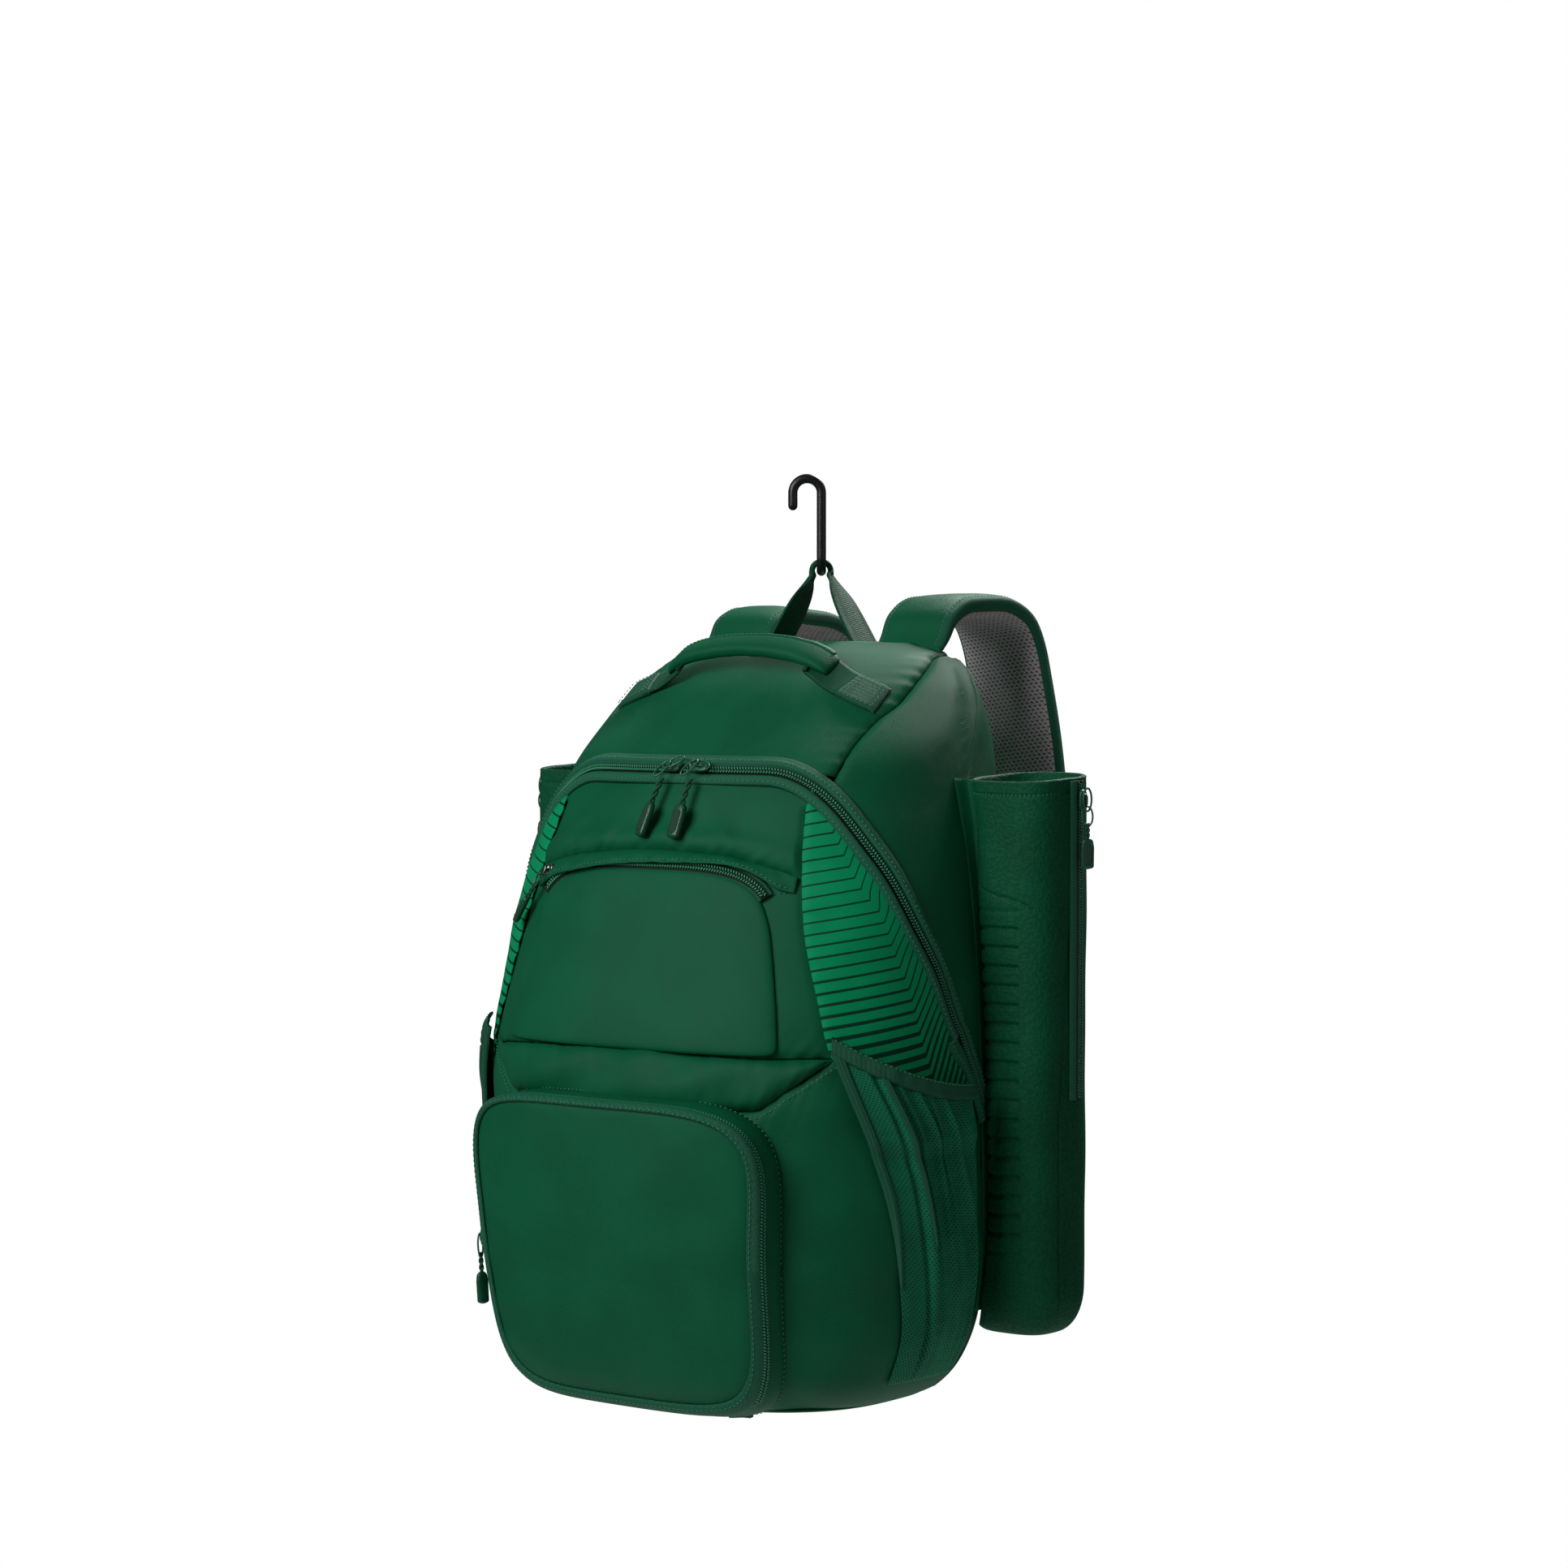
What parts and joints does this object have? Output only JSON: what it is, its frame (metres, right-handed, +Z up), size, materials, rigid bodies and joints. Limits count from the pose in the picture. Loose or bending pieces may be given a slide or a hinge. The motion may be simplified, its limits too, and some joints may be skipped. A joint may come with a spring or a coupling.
{
  "type": "baseball bat backpack",
  "caption": "Domed backpack for ball sports with an open bat sleeve on each side, zipped main and front pockets, mesh side pockets, and a hook in its haul loop for hanging.",
  "frame": {"origin": "inside the top of the hook's upper bend, where the bag hangs on a fence wire or a peg", "axes": "+Z up along the hanging bag, -Y out of the bag's front, +X to the right as seen from the front"},
  "size_m": [0.4776, 0.3738, 0.6169],
  "materials": {
    "fabric": "matte fine twill, dark green",
    "print_fabric": "matte bright green with dark chevron stripes",
    "neoprene": "smooth padded knit, dark green",
    "webbing": "ribbed woven tape, dark green",
    "mesh": "gathered knitted mesh, dark green",
    "zip_tape": "herringbone tape with a coil, dark green",
    "zip_metal": "satin dark green",
    "moulded_plastic": "soft satin, dark green",
    "hook_steel": "satin black"
  },
  "bodies": {
    "root": {"base_tab": "webbing", "bat_sleeve_left": "neoprene", "bat_sleeve_right": "neoprene", "fence_hook": "hook_steel", "front_flap": "fabric", "grab_handle": "fabric", "handle_webbing_left": "webbing", "handle_webbing_right": "webbing", "haul_loop": "webbing", "lower_pocket": "fabric", "lower_webbing_left": "webbing", "lower_webbing_right": "webbing", "lower_zip": "zip_tape", "lower_zip_pull": "moulded_plastic", "lower_zip_slider": "zip_metal", "main_shell": "fabric", "main_zip": "zip_tape", "main_zip_pull_left": "moulded_plastic", "main_zip_pull_right": "moulded_plastic", "main_zip_slider_left": "zip_metal", "main_zip_slider_right": "zip_metal", "mesh_band_left": "webbing", "mesh_band_right": "webbing", "mesh_pocket_left": "mesh", "mesh_pocket_right": "mesh", "pocket_hood": "fabric", "print_panel_left": "print_fabric", "print_panel_right": "print_fabric", "shoulder_strap_left": "fabric", "shoulder_strap_right": "fabric", "sleeve_zip_left": "zip_tape", "sleeve_zip_pull_left": "moulded_plastic", "sleeve_zip_pull_right": "moulded_plastic", "sleeve_zip_right": "zip_tape", "sleeve_zip_slider_left": "zip_metal", "sleeve_zip_slider_right": "zip_metal", "strap_anchor_left": "webbing", "strap_anchor_right": "webbing", "strap_buckle_left": "moulded_plastic", "strap_buckle_right": "moulded_plastic", "upper_pocket": "fabric", "upper_zip": "zip_tape", "upper_zip_pull": "moulded_plastic", "upper_zip_slider": "zip_metal"}
  },
  "joints": []
}
